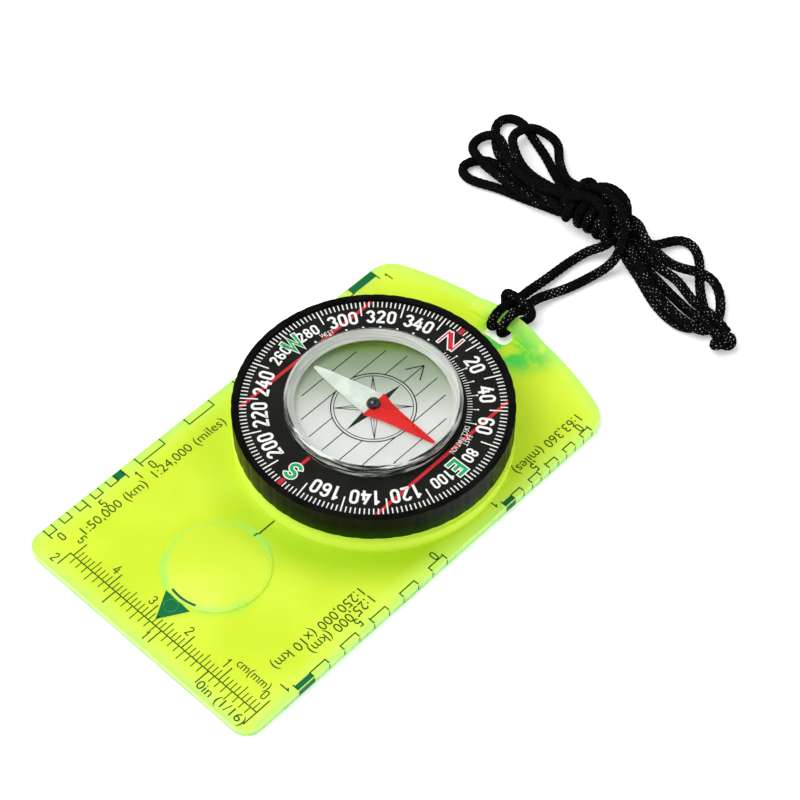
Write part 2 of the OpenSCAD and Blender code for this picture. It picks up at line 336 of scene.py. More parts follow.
def dense(points, step=1.0):
    """A smooth line through points, as evenly spaced points."""
    p = np.array(points, float)
    p = np.vstack([2 * p[0] - p[1], p, 2 * p[-1] - p[-2]])
    out = []
    for i in range(1, len(p) - 2):
        p0, p1, p2, p3 = p[i - 1:i + 3]
        knots = np.cumsum([0] + [max(np.linalg.norm(b - a), 0.01) ** 0.5
                                 for a, b in ((p0, p1), (p1, p2), (p2, p3))])
        t0, t1, t2, t3 = knots
        for t in np.linspace(t1, t2, 16, endpoint=False):
            a1 = (t1 - t) / (t1 - t0) * p0 + (t - t0) / (t1 - t0) * p1
            a2 = (t2 - t) / (t2 - t1) * p1 + (t - t1) / (t2 - t1) * p2
            a3 = (t3 - t) / (t3 - t2) * p2 + (t - t2) / (t3 - t2) * p3
            b1 = (t2 - t) / (t2 - t0) * a1 + (t - t0) / (t2 - t0) * a2
            b2 = (t3 - t) / (t3 - t1) * a2 + (t - t1) / (t3 - t1) * a3
            out.append((t2 - t) / (t2 - t1) * b1 + (t - t1) / (t2 - t1) * b2)
    out.append(p[-2])
    return even(np.array(out), step)


def even(line, step):
    """The same line with its points a step apart."""
    long = np.concatenate([[0], np.cumsum(np.linalg.norm(np.diff(line, axis=0), axis=1))])
    count = max(2, round(long[-1] / step) + 1)
    marks = np.linspace(0, long[-1], count)
    return np.stack([np.interp(marks, long, line[:, k]) for k in range(3)], axis=1)


def settle(lines, held, rounds=260):
    """Moves lines that pass through each other apart, keeps them smooth and off the table.
    held says how many points at the start of each line stay where they are."""
    sizes = [len(line) for line in lines]
    ends = np.cumsum(sizes)
    starts = ends - sizes
    points = np.vstack(lines)
    home = points.copy()
    which = np.repeat(np.arange(len(lines)), sizes)
    order = np.arange(len(points))
    free = np.ones(len(points))
    for start, count in zip(starts, held):
        free[start:start + count] = 0
    inner = np.ones(len(points), bool)
    inner[starts] = False
    inner[ends - 1] = False
    near_self = (which[:, None] == which[None]) & (np.abs(order[:, None] - order[None]) < 4)
    far = 99
    push_share, smooth_share, last_share, home_share = 0.6, 0.16, 0.05, 0.015
    last_rounds = 40
    for turn in range(rounds):
        apart = points[:, None] - points[None]
        distance = np.linalg.norm(apart, axis=2) + np.eye(len(points)) * far
        close = (distance < CORD_D) & ~near_self
        push = np.where(close, (CORD_D - distance) / distance, 0)[..., None] * apart
        count = np.maximum(close.sum(1), 1)
        move = push.sum(1) / count[:, None] * push_share
        points += move * free[:, None]
        middle = np.zeros_like(points)
        middle[1:-1] = (points[:-2] + points[2:]) / 2
        pull = smooth_share if turn < rounds - last_rounds else last_share
        points += ((middle - points) * (inner * free)[:, None]) * pull
        points += (home - points) * free[:, None] * home_share
        points[:, 2] = np.maximum(points[:, 2], CORD_LOW)
    return [points[a:b] for a, b in zip(starts, ends)]


def eased(line, rounds=6):
    """The line with its small kinks drawn out, and points close enough to sweep along."""
    line = line.copy()
    for _ in range(rounds):
        line[1:-1] += ((line[:-2] + line[2:]) / 2 - line[1:-1]) / 2
    return dense(line, 0.3)


def frames(line):
    """Two directions across the line at each of its points, which don't twist along it."""
    tangents = np.gradient(line, axis=0)
    tangents /= np.linalg.norm(tangents, axis=1)[:, None]
    side = np.cross(tangents[0], (0, 0, 1))
    if np.linalg.norm(side) < 0.1:
        side = np.cross(tangents[0], (1, 0, 0))
    sides = []
    for tangent in tangents:
        side = side - tangent * side.dot(tangent)
        side /= np.linalg.norm(side)
        sides.append(side)
    sides = np.array(sides)
    return sides, np.cross(tangents, sides)


def braid_height(around, along):
    """How high the braid stands, from 0 in a gap to 1 on a crown: two sets of yarns that
    wind opposite ways and pass over and under each other."""
    one = CARRIERS * (around + along / BRAID_TURN)
    two = CARRIERS * (around - along / BRAID_TURN)
    wave_one = np.sin(np.pi * one)
    wave_two = np.sin(np.pi * two)
    over = wave_one * wave_two
    return np.maximum(np.abs(wave_one) * (0.66 + 0.34 * over), np.abs(wave_two) * (0.66 - 0.34 * over))


def braided(name, line, radius=CORD_D / 2, sides=24, step=0.3, melted=()):
    """A closed tube along the line with the braid's relief, and UVs that follow the yarns.
    melted names the ends, 0 or -1, that come to a sealed, rounded tip."""
    line = even(line, step)
    across, over = frames(line)
    count = len(line)
    along = np.arange(count) * step
    around = np.arange(sides) / sides
    height = braid_height(around[None], along[:, None])
    radii = radius - RELIEF * (1 - height)
    for end in melted:
        reach = np.minimum(along if end == 0 else along[::-1], radius)
        radii *= np.sqrt(np.maximum(1 - (1 - reach / radius) ** 2, 0.02))[:, None]
    angle = 2 * np.pi * around
    rings = (line[:, None]
             + radii[..., None] * (np.cos(angle)[None, :, None] * across[:, None]
                                   + np.sin(angle)[None, :, None] * over[:, None]))
    points = [tuple(p) for p in rings.reshape(-1, 3)]
    faces = [(i * sides + k, i * sides + (k + 1) % sides,
              (i + 1) * sides + (k + 1) % sides, (i + 1) * sides + k)
             for i in range(count - 1) for k in range(sides)]
    faces.append(tuple(range(sides))[::-1])
    faces.append(tuple((count - 1) * sides + k for k in range(sides)))
    mesh = bpy.data.meshes.new(name)
    mesh.from_pydata([[c * MM for c in p] for p in points], [], faces)
    layer = mesh.uv_layers.new(name="braid")
    spots = []
    for i in range(count - 1):
        for k in range(sides):
            spots += [(k / sides, along[i]), ((k + 1) / sides, along[i]),
                      ((k + 1) / sides, along[i + 1]), (k / sides, along[i + 1])]
    spots += [(0, 0)] * (2 * sides)
    layer.data.foreach_set("uv", np.array(spots, float).ravel())
    outward(mesh)
    mesh.shade_smooth()
    return mesh, line


def cord_surface():
    """Black braided polyester: fibres along each yarn, grey patches of painted sheen on the yarns, painted
    shade in the gaps between them and small pale flecks of painted glint, which are rarer on the loops at
    the -X end."""
    s = Surface("cord_black", Roughness=0.8, Specular_IOR_Level=0.0)
    uv = s.node("UVMap", uv_map="braid").outputs["UV"]
    parts = s.node("SeparateXYZ", {0: uv})
    around = s.math("MULTIPLY", parts.outputs[0], CARRIERS)
    along = s.math("MULTIPLY", parts.outputs[1], CARRIERS / BRAID_TURN)
    one = s.math("ADD", around, along)
    two = s.math("SUBTRACT", around, along)
    waves = [s.math("ABSOLUTE", s.math("SINE", s.math("MULTIPLY", u, math.pi))) for u in (one, two)]
    gap = s.math("MAXIMUM", *waves)
    fibre = s.noise(0.12, 2, s.node("Mapping", {0: uv, 3: (40, 3, 1)}).outputs[0])
    fibres = s.noise(0.22, 3)
    # Grey patches are painted sheen on the yarns, and the gaps between the yarns get painted shade.
    painted_light_tone = s.mix(s.span(fibres, 0.35, 0.75), rgb(3, 3, 4), rgb(30, 30, 31))
    painted_light_tone = s.mix(s.span(gap, 0.25, 0.6), rgb(2, 2, 2), painted_light_tone)
    # Pale flecks at some crossings of the yarns are painted glints, painted rarer towards the loops at the
    # -X end.
    yarns = s.node("CombineXYZ", {0: one, 1: two}).outputs[0]
    crossing = s.node("VectorMath", {0: yarns}, operation="FLOOR").outputs[0]
    chance = s.node("TexWhiteNoise", {0: crossing}).outputs["Value"]
    east = s.node("SeparateXYZ", {0: s.place()}).outputs[0]
    uneven = s.span(s.noise(9, 1), 0.4, 0.6, -0.05, 0.05)
    rare = s.math("ADD", s.span(east, -0.006, 0.003, 0.985, 0.82), uneven)
    painted_glint = s.math("MULTIPLY", s.span(gap, 0.46, 0.34), s.math("GREATER_THAN", chance, rare))
    s.set("Base Color", s.mix(painted_glint, painted_light_tone, rgb(215, 215, 215)))
    s.bump(s.math("ADD", fibres, fibre), 0.03, 0.6)
    return s.material


def overhand(centre, size, tail_a, tail_b):
    """The small stopper knot: a trefoil between two tails."""
    points = [tail_a]
    for i in range(28):
        t = math.radians(-60 + 300 * i / 27)
        x = math.sin(t) + 2 * math.sin(2 * t)
        y = math.cos(t) - 2 * math.cos(2 * t)
        z = -math.sin(3 * t)
        points.append((centre[0] + size * x, centre[1] + size * y, centre[2] + size * 0.8 * z))
    points.append(tail_b)
    return points


def make_cords():
    cord = cord_surface()
    route_a = (STRAND_A + OVER_A + LEFT_B + lane(2, True) + RIGHT_E + lane(4, False) + LEFT_D
               + lane(5, True) + TIP_A)
    route_b = (STRAND_B + OVER_B + LEFT_A + lane(1, True) + RIGHT_F + lane(3, False) + LEFT_C
               + lane(0, True) + TIP_B)
    winding = turns(-10.2, 0.4, -160, -160 - 3.9 * 360) + OVER_W
    strands = [dense(route_a), dense(route_b), dense(winding)]
    in_hitch = 24
    line_a, line_b, line_w = (eased(line) for line in settle(strands, [in_hitch, in_hitch, 0]))
    mesh_a, path_a = braided("cord_long", line_a)
    mesh_b, path_b = braided("cord_short", line_b)
    mesh_w, _ = braided("knot_turns", line_w, melted=(0, -1))
    left = [(HITCH_MID - x, y, z) for x, y, z in HALF_HITCH]
    right = [(HITCH_MID + x, y, z) for x, y, z in HALF_HITCH[::-1]]
    mesh_h, _ = braided("hitch_loop", dense(left + right, 0.6), radius=1.04, melted=(0, -1))
    end, tip = Vector(path_a[-1]), (36.5, 77.6, 1.1)
    knot = overhand((end.x + 1.2, end.y - 0.2, 2.4), 0.72, (end.x, end.y, end.z), tip)
    mesh_k, _ = braided("stopper_knot", dense(knot, 0.5), radius=0.96, melted=(0, -1))
    cord_a = add("cord_long", mesh_a, "plate", cord, ["strand_a", "hank_left"])
    cord_b = add("cord_short", mesh_b, "plate", cord, ["strand_b", "hank_right"])
    winding = add("knot_turns", mesh_w, "plate", cord, ["wrap"])
    hitch = add("hitch_loop", mesh_h, "plate", cord, ["hitch"])
    knot = add("stopper_knot", mesh_k, "plate", cord, ["end_knot"])


make_cords()


# ---------------- materials of the object
def acrylic():
    """Fluorescent clear plate with a slight painted glow all over: painted green light at its edges,
    painted glints at the lens's rim and by the cord's bar, a painted highlight on the raised ring under the
    bezel, and a painted green shadow in front of the bezel."""
    s = Surface("acrylic", IOR=1.49, Transmission_Weight=0.45, Specular_IOR_Level=0.3)
    x, y, z = s.node("SeparateXYZ", {0: s.place()}).outputs
    side = s.math("SUBTRACT", PLATE_HALF_W * MM, s.math("ABSOLUTE", x))
    near = s.math("SUBTRACT", y, PLATE_NEAR * MM)
    far = s.math("SUBTRACT", CROWN_R * MM, s.away_from(0, PLATE_FAR - CROWN_R))
    edge = s.math("MINIMUM", s.math("MINIMUM", side, near), far)
    normal = s.node("SeparateXYZ", {0: s.node("NewGeometry").outputs["Normal"]}).outputs[2]
    upright = s.span(s.math("ABSOLUTE", normal), 0.75, 0.25)
    dial = s.away_from(0, DIAL_Y)
    body = s.mix(s.span(s.noise(22, 2), 0.35, 0.65), rgb(213, 231, 56), rgb(222, 239, 76))
    # Painted shadow of the bezel on the plate around the dial, darkest on its front side.
    shade = s.math("MULTIPLY", s.span(dial, 0.029, 0.039, 0.75, 0),
                   s.span(s.forward(), 0.008, 0.03, 0.35, 1))
    body = s.mix(shade, body, rgb(160, 202, 14))
    lens = s.away_from(0, LENS_Y)
    # A painted highlight along the lens's rim, broken up by noise.
    rim = s.math("MULTIPLY", s.span(lens, 0.0088, 0.0103), s.span(lens, 0.0114, 0.0106))
    rim = s.math("MULTIPLY", rim, s.span(s.noise(7, 2), 0.42, 0.56, 0.15, 0.85))
    body = s.mix(rim, body, rgb(176, 232, 110))
    # A painted green glint on the plate beside the cord's bar, broken up by noise.
    bar_x, bar_y = 4.5, 50.5
    bar = s.math("MULTIPLY", s.span(s.away_from(bar_x, bar_y), 0.011, 0.006),
                 s.span(s.noise(5, 3), 0.33, 0.5))
    body = s.mix(bar, body, rgb(84, 208, 84))
    # Painted light on the top face near the plate's outline: paler within 5 mm of it, with a painted glow
    # right at the edge.
    border = s.mix(s.span(edge, 0.0, 0.005, 0.65, 0), body, rgb(220, 245, 122))
    rim_glow = s.math("MULTIPLY", s.span(edge, 0.0001, 0.0018, 0.6, 0),
                      s.span(s.noise(4, 2), 0.4, 0.6, 0.3, 1))
    border = s.mix(rim_glow, border, rgb(178, 240, 138))
    # The upright faces at the plate's outline carry painted glow, green at their foot and paler towards
    # their top edge. Upright faces away from the outline keep a plain yellow-green.
    edge_glow_green = s.mix(s.span(s.noise(9, 3), 0.35, 0.65), rgb(110, 214, 120), rgb(160, 245, 150))
    side_wall_glow = s.mix(s.span(z, 0.0003, 0.0013), edge_glow_green, rgb(212, 242, 120))
    side_wall_glow = s.mix(s.span(edge, 0.0006, 0.0012), side_wall_glow, rgb(216, 240, 56))
    colour = s.mix(upright, border, side_wall_glow)
    # A painted highlight on the upright face of the raised ring just under the bezel.
    lip_highlight = s.math("MULTIPLY", s.span(z, 0.0026, 0.0034), s.span(dial, 0.0286, 0.0282))
    colour = s.mix(lip_highlight, colour, rgb(232, 255, 96))
    s.set("Base Color", colour)
    # The plate's colour is also emitted, as a slight painted glow.
    s.set("Emission Color", colour)
    s.set("Emission Strength", 0.15)
    s.set("Roughness", s.math("ADD", s.span(s.noise(3, 5), 0.3, 0.7, 0.14, 0.24),
                              s.span(lens, 0.0106, 0.0094, 0, 0.16)))
    s.bump(s.noise(14, 2), 0.02, 0.25)
    return s.material


def bezel_black():
    """Glossy black, with a painted green reflection of the plate on its wall towards the foot."""
    s = Surface("bezel_black", Specular_IOR_Level=0.05)
    z = s.node("SeparateXYZ", {0: s.place()}).outputs[2]
    # Painted reflection of the green plate on the lower part of the wall.
    foot = s.span(z, 0.0062, 0.0102, 1, 0)
    patches = s.noise(5, 4)
    black = s.mix(s.span(patches, 0.35, 0.65), rgb(8, 9, 8), rgb(16, 17, 15))
    s.set("Base Color", s.mix(foot, black, rgb(24, 58, 3)))
    s.set("Roughness", s.span(patches, 0.3, 0.7, 0.26, 0.36))
    s.bump(s.noise(0.6, 3), 0.003)
    return s.material


def capsule_floor():
    """Faintly frosted clear floor with a slight painted glow, painted shade that makes it darker towards
    the back, and a painted green arc of the plate showing through at its back edge.
    """
    s = Surface("floor_clear", IOR=1.45, Transmission_Weight=0.35, Emission_Strength=0.2)
    front = s.forward()
    # Painted shade towards the back, then a painted green arc of the plate at the back edge.
    painted_light_tone = s.mix(s.span(front, 0.004, -0.014), rgb(232, 231, 230), rgb(150, 168, 138))
    painted_light_tone = s.mix(s.span(front, -0.0122, -0.0155, 0, 0.9), painted_light_tone, rgb(120, 150, 52))
    s.set("Base Color", painted_light_tone)
    # The colour is also emitted, as a slight painted glow.
    s.set("Emission Color", painted_light_tone)
    s.set("Roughness", s.span(s.noise(4, 3), 0.35, 0.65, 0.3, 0.42))
    s.bump(s.noise(0.8, 2), 0.002, 0.1)
    return s.material


def wall_clear():
    """The cover's moulded rim with a slight painted glow: pale inside, painted green light of the plate
    under it, and painted reflections as dark and bright streaks on its front.
    """
    s = Surface("wall_clear", Roughness=0.14, Emission_Strength=0.12)
    z = s.node("SeparateXYZ", {0: s.place()}).outputs[2]
    out = s.node("VectorMath", {0: s.offset(0, DIAL_Y)}, operation="NORMALIZE").outputs[0]
    facing = s.node("VectorMath", {0: out, 1: s.node("NewGeometry").outputs["Normal"]},
                    operation="DOT_PRODUCT").outputs["Value"]
    stretched = s.node("Mapping", {0: s.place(), 3: (0.45, 0.45, 8)}).outputs[0]
    streaks = s.noise(3, 4, stretched)
    # Inner face: a pale streaky band, and painted green light of the plate below the rim.
    inner = s.mix(s.span(streaks, 0.35, 0.65), rgb(198, 201, 194), rgb(222, 224, 219))
    under_rim = (CAPSULE_TOP - RIM_DROP) * MM
    inner = s.mix(s.span(z, under_rim - 0.0001, under_rim + 0.0003), rgb(118, 142, 48), inner)
    # Outer face: painted reflections as dark and bright streaks on the front, an even pale grey elsewhere.
    dark = s.mix(s.span(streaks, 0.42, 0.5), rgb(8, 9, 8), rgb(92, 96, 88))
    bright = s.mix(s.span(streaks, 0.52, 0.58), dark, rgb(222, 226, 220))
    outer = s.mix(s.span(s.forward(), -0.006, 0.004), rgb(186, 189, 182), bright)
    faces_out = 0.2
    colour = s.mix(s.math("GREATER_THAN", facing, faces_out), inner, outer)
    s.set("Base Color", colour)
    s.set("Emission Color", colour)
    s.bump(streaks, 0.05, 0.4)
    return s.material


def clear(name, tint, roughness, ior=1.45):
    """Clear moulded plastic with a little haze and very light wear."""
    s = Surface(name, IOR=ior, Transmission_Weight=1.0, Coat_Weight=0.5, Coat_Roughness=0.04)
    hazier = tuple(c * 0.95 for c in tint[:3]) + (1,)
    s.set("Base Color", s.mix(s.span(s.noise(6, 4), 0.35, 0.65), hazier, tint))
    s.set("Roughness", s.span(s.noise(2, 5), 0.35, 0.75, roughness * 0.6, roughness * 1.5))
    s.bump(s.noise(5, 2), 0.006, 0.15)
    return s.material


def ink(name, colour):
    """Screen-printed ink: nearly even, a little rough, with faint pinholes of thinner ink."""
    s = Surface(name, Specular_IOR_Level=0.15)
    thin = tuple(c * 0.8 for c in colour[:3]) + (1,)
    s.set("Base Color", s.mix(s.span(s.noise(0.25, 4), 0.28, 0.5), thin, colour))
    s.set("Roughness", s.span(s.noise(0.8, 3), 0.3, 0.7, 0.35, 0.55))
    s.bump(s.noise(0.1, 2), 0.004, 0.3)
    return s.material


ACRYLIC = acrylic()
BEZEL_BLACK = bezel_black()
DIAL_BLACK = moulded("dial_black", rgb(22, 22, 18), 0.42, 0.35, 0.004, Specular_IOR_Level=0.15)
RING_PLASTIC = moulded("ring_plastic", rgb(52, 52, 50), 0.5)
DOME_CLEAR = clear("dome_clear", rgb(250, 253, 251), 0.015, 1.06)
HUB_CLEAR = clear("hub_clear", rgb(236, 250, 225), 0.06)
FLOOR_CLEAR = capsule_floor()
WALL_CLEAR = wall_clear()
STEEL = moulded("steel", rgb(190, 190, 192), 0.3, 0.2, 0.002, Metallic=1.0)
# The needle's paints also emit a little of their colour, as a painted glow.
RED_PAINT = moulded("red_paint", rgb(228, 18, 10), 0.3, 0.4, 0.003, Emission_Strength=0.12,
                    Emission_Color=rgb(228, 18, 10))
WHITE_PAINT = moulded("white_paint", rgb(226, 236, 224), 0.4, 0.3, 0.004, Emission_Strength=0.1,
                      Emission_Color=rgb(226, 236, 224))
CAP_BLACK = moulded("cap_black", rgb(20, 20, 20), 0.12, 0.5, 0.002, Coat_Weight=0.6)
JEWEL_RED = moulded("jewel_red", rgb(120, 16, 24), 0.15)
INK_WHITE = ink("ink_white", rgb(245, 246, 242))
INK_RED = ink("ink_red", rgb(206, 44, 54))
INK_GREEN = ink("ink_green", rgb(40, 170, 100))
INK_FLOOR = ink("ink_floor", rgb(34, 42, 38))
INK_PLATE = ink("ink_plate", rgb(48, 84, 18))
INK_MARK = ink("ink_mark", rgb(8, 112, 62))
INK_PALE = ink("ink_pale", rgb(70, 170, 112))


# The CAD nodes stay as they are and only take their materials
for node, material in (
        ("baseplate", ACRYLIC), ("bezel", BEZEL_BLACK), ("hub", HUB_CLEAR), ("dial_ring", DIAL_BLACK),
        ("retaining_ring", RING_PLASTIC), ("capsule_base", FLOOR_CLEAR), ("capsule_dome", DOME_CLEAR),
        ("pivot_pin", STEEL), ("needle_red", RED_PAINT), ("needle_white", WHITE_PAINT),
        ("needle_cap", CAP_BLACK), ("jewel", JEWEL_RED)):
    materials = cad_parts[node].data.materials
    materials.clear()
    materials.append(material)


def lathe(name, profile, steps=128):
    """A solid of revolution about the dial's axis. profile is (radius, z): either a line that
    starts and ends on the axis, or the closed outline of a ring."""
    on_axis = profile[0][0] == 0
    rows = profile[1:-1] if on_axis else profile
    turn = [(math.cos(2 * math.pi * k / steps), math.sin(2 * math.pi * k / steps)) for k in range(steps)]
    points = [(r * c, DIAL_Y + r * s, z) for r, z in rows for c, s in turn]
    after = list(range(1, len(rows))) + ([] if on_axis else [0])
    faces = [(i * steps + k, i * steps + (k + 1) % steps, j * steps + (k + 1) % steps, j * steps + k)
             for i, j in enumerate(after) for k in range(steps)]
    if on_axis:
        for row, z in ((0, profile[0][1]), (len(rows) - 1, profile[-1][1])):
            faces += [(row * steps + k, row * steps + (k + 1) % steps, len(points)) for k in range(steps)]
            points.append((0, DIAL_Y, z))
    return mesh_of(name, points, faces, 30)


def make_capsule():
    """The clear cover and the liquid in it, as the one clear body that the eye sees, and the
    cover's moulded rim and wall inside that body."""
    foot = low("capsule_dome").z + 0.03
    chamfer = 0.3
    round_r = 0.9
    edge = [(CAPSULE_R - round_r + round_r * math.sin(a), CAPSULE_TOP - round_r + round_r * math.cos(a))
            for a in (math.radians(9 * i) for i in range(11))]
    profile = [(0, CAPSULE_TOP), (8, CAPSULE_TOP)] + edge
    profile += [(CAPSULE_R, foot + chamfer), (CAPSULE_R - chamfer, foot), (0, foot)]
    add("capsule_filled", lathe("capsule_filled", profile), "dial", DOME_CLEAR,
        ["capsule_dome"])
    foot = FLOOR_TOP + 0.02
    rim = [(CAPSULE_R - 1.2, foot), (CAPSULE_R - 1.2, CAPSULE_TOP - RIM_DROP),
           (CAPSULE_R - 2, CAPSULE_TOP - 2.4), (CAPSULE_R - 0.7, CAPSULE_TOP - 0.3),
           (CAPSULE_R - 0.2, CAPSULE_TOP - 0.8), (CAPSULE_R - 0.2, foot)]
    add("capsule_wall", lathe("capsule_wall", rim), "dial", WALL_CLEAR)


make_capsule()


# ---------------- prints
def bow(centre, radius_x, radius_y, start, end, steps=14):
    """Points along an arc of an ellipse, in degrees anticlockwise from +X."""
    angles = [math.radians(start + (end - start) * i / steps) for i in range(steps + 1)]
    return [(centre[0] + radius_x * math.cos(a), centre[1] + radius_y * math.sin(a)) for a in angles]


# Half the width and half the height of a round figure's stroke line, in a box one high
GX, GY = 0.19, 0.415
# Strokes of each figure, as (points, closed), with the stroke's weight where it isn't 1
GLYPHS = {
    ".": [([(0.1, -0.5), (0.1, -0.34)], False, 1.3)],
    "0": [(bow((0, GY - GX), GX, GX, 0, 180) + bow((0, GX - GY), GX, GX, 180, 360), True)],
    "1": [([(0.06, -0.5), (0.06, 0.5)], False), ([(-0.14, 0.24), (0.06, 0.4)], False)],
    "2": [(bow((0, GY - GX), GX, GX, 175, -25) + [(-GX, -GY + 0.03), (-GX, -GY), (GX + 0.05, -GY)], False)],
    "3": [(bow((0, 0.215), GX, 0.2, 170, -90), False), (bow((0, -0.2), GX, 0.215, 90, -170), False)],
    "4": [([(0.05, 0.47), (-0.23, -0.2), (0.27, -0.2)], False), ([(0.1, 0.2), (0.1, -0.5)], False)],
    "5": [([(0.2, 0.42), (-0.15, 0.42), (-0.19, 0.02)] + bow((0, -0.18), 0.2, 0.235, 135, -160), False)],
    "6": [(bow((0, -0.2), GX, 0.215, 0, 360, 28)[:-1], True),
          (bow((0, GY - GX), GX, GX, 5, 180) + [(-GX, -0.2)], False)],
    "8": [(bow((0, 0.22), GX - 0.015, 0.195, 0, 360, 28)[:-1], True),
          (bow((0, -0.2), GX, 0.215, 0, 360, 28)[:-1], True)],
    "N": [([(-0.44, -0.5), (-0.44, 0.46)], False, 0.45), ([(0.44, -0.46), (0.44, 0.5)], False, 0.45),
          ([(-0.36, 0.42), (0.36, -0.42)], False, 1.35)],
    "E": [([(0.29, 0.4), (-0.24, 0.4), (-0.24, -0.4), (0.29, -0.4)], False),
          ([(-0.24, 0), (0.22, 0)], False)],
    "S": [(bow((0, 0.205), 0.25, 0.2, 20, 270) + bow((0, -0.205), 0.25, 0.21, 90, -160), False)],
    "W": [([(-0.42, 0.5), (-0.21, -0.4), (0, 0.35), (0.21, -0.4), (0.42, 0.5)], False)],
}


def spread(words):
    """Each letter with its distance from the middle of the words, counted in letters."""
    return [(letter, i - (len(words) - 1) / 2) for i, letter in enumerate(words)]


class Print:
    """Flat printed marks on one level face, gathered into one piece of thin closed solids."""

    def __init__(self, name, body, slot, material, z):
        self.name, self.body, self.slot, self.material, self.z = name, body, slot, material, z
        self.points, self.faces, self.strokes = [], [], 0

    def slab(self, outline):
        """A closed slab over a simple outline of (x, y)."""
        n, first = len(outline), len(self.points)
        self.points += [(x, y, self.z) for x, y in outline]
        self.points += [(x, y, self.z + INK) for x, y in outline]
        self.faces.append(tuple(first + k for k in range(n))[::-1])
        self.faces.append(tuple(first + n + k for k in range(n)))
        for k in range(n):
            j = (k + 1) % n
            self.faces.append((first + k, first + j, first + n + j, first + n + k))

    def stroke(self, line, width, closed=False):
        """A closed slab of even width along a line of (x, y). Strokes that cross lie a hair
        apart in height, and sharp corners are cut short."""
        line = [Vector(p) for p in line]
        n, first = len(line), len(self.points)
        hair, levels, sharpest = 0.002, 6, 0.45
        self.strokes += 1
        z = self.z + hair * (self.strokes % levels)
        for i, p in enumerate(line):
            before = line[i - 1] if closed or i else None
            after = line[(i + 1) % n] if closed or i < n - 1 else None
            away = ((after - p) if after is not None else (p - before)).normalized()
            come = ((p - before) if before is not None else away).normalized()
            across = Vector((-come.y - away.y, come.x + away.x)).normalized()
            reach = width / 2 / max(sharpest, across.dot(Vector((-come.y, come.x))))
            a, b = p - across * reach, p + across * reach
            self.points += [(a.x, a.y, z), (b.x, b.y, z), (b.x, b.y, z + INK), (a.x, a.y, z + INK)]
        for i in range(n if closed else n - 1):
            j = (i + 1) % n
            a, b = first + 4 * i, first + 4 * j
            for k in range(4):
                m = (k + 1) % 4
                self.faces.append((a + k, b + k, b + m, a + m))
        if not closed:
            last = first + 4 * (n - 1)
            self.faces.append((first, first + 1, first + 2, first + 3))
            self.faces.append((last + 3, last + 2, last + 1, last))

    def line(self, a, b, width):
        self.stroke([a, b], width)

    def ring(self, centre, radius, width, start=0.0, end=360.0, steps=64):
        """An arc of a ring, in degrees anticlockwise from +X."""
        closed = abs(end - start) >= 360
        line = bow(centre, radius, radius, start, end, steps)
        self.stroke(line[:-1] if closed else line, width, closed)

    def glyph(self, letter, at, high_mm, turn_deg, width, grow=0.0):
        """One figure or letter, drawn as strokes that are grow millimetres fatter all round."""
        turn = Matrix.Rotation(math.radians(turn_deg), 2)
        for line, closed, *weight in GLYPHS[letter]:
            line = [turn @ (Vector(p) * high_mm) + Vector(at) for p in line]
            if grow and not closed:
                line[0] += (line[0] - line[1]).normalized() * grow
                line[-1] += (line[-1] - line[-2]).normalized() * grow
            self.stroke(line, width * (weight[0] if weight else 1) + 2 * grow, closed)

    def number(self, words, radius, degrees, high_mm):
        """A number on the dial, the tops of its figures outwards."""
        pitch, stroke = 0.645 * high_mm, 0.165 * high_mm
        step = math.degrees(pitch / radius)
        for letter, away in spread(words):
            angle = degrees + away * step
            self.glyph(letter, bearing(radius, angle), high_mm, -angle, stroke)

    def wall(self, side, y_low, y_high):
        """A thin upright mark on one long side wall of the plate."""
        first, margin = len(self.points), 0.35
        self.points += [(x, y, z) for x in (side * PLATE_HALF_W, side * (PLATE_HALF_W + INK))
                        for y in (y_low, y_high) for z in (margin, PLATE_T - margin)]
        self.faces += [tuple(first + k for k in face) for face in (
            (0, 1, 3, 2), (4, 6, 7, 5), (0, 4, 5, 1), (2, 3, 7, 6), (0, 2, 6, 4), (1, 5, 7, 3))]

    def dot(self, centre, radius, sides=16):
        self.slab([(centre[0] + radius * math.cos(2 * math.pi * k / sides),
                    centre[1] + radius * math.sin(2 * math.pi * k / sides)) for k in range(sides)])

    def text(self, words, at, high_mm, turn_deg, narrow=1.0):
        """Words centred on a point, with capitals high_mm high, turned anticlockwise. narrow is
        their width over its usual value."""
        curve = bpy.data.curves.new("words", "FONT")
        curve.body = words
        curve.align_x = "CENTER"
        curve.align_y = "CENTER"
        curve.extrude = 0.5
        curve.resolution_u = 3
        made = bpy.data.objects.new("words", curve)
        mesh = made.to_mesh()
        capital = 0.69
        size = high_mm / capital
        turn = Matrix.Rotation(math.radians(turn_deg), 3, "Z")
        xs = [v.co.x for v in mesh.vertices]
        ys = [v.co.y for v in mesh.vertices]
        mid = Vector(((min(xs) + max(xs)) / 2, (min(ys) + max(ys)) / 2, 0))
        first = len(self.points)
        for v in mesh.vertices:
            flat = turn @ Vector(((v.co.x - mid.x) * size * narrow, (v.co.y - mid.y) * size, 0))
            z = self.z + (INK if v.co.z > 0 else 0)
            self.points.append((at[0] + flat.x, at[1] + flat.y, z))
        self.faces += [tuple(first + i for i in face.vertices) for face in mesh.polygons]
        made.to_mesh_clear()
        bpy.data.objects.remove(made)
        bpy.data.curves.remove(curve)

    def done(self):
        mesh = mesh_of(self.name, self.points, self.faces, 30)
        add(self.name, mesh, self.body, self.material)


def bearing(radius, degrees):
    """A point on the dial, by radius and degrees clockwise from north."""
    angle = math.radians(degrees)
    return (radius * math.sin(angle), DIAL_Y + radius * math.cos(angle))


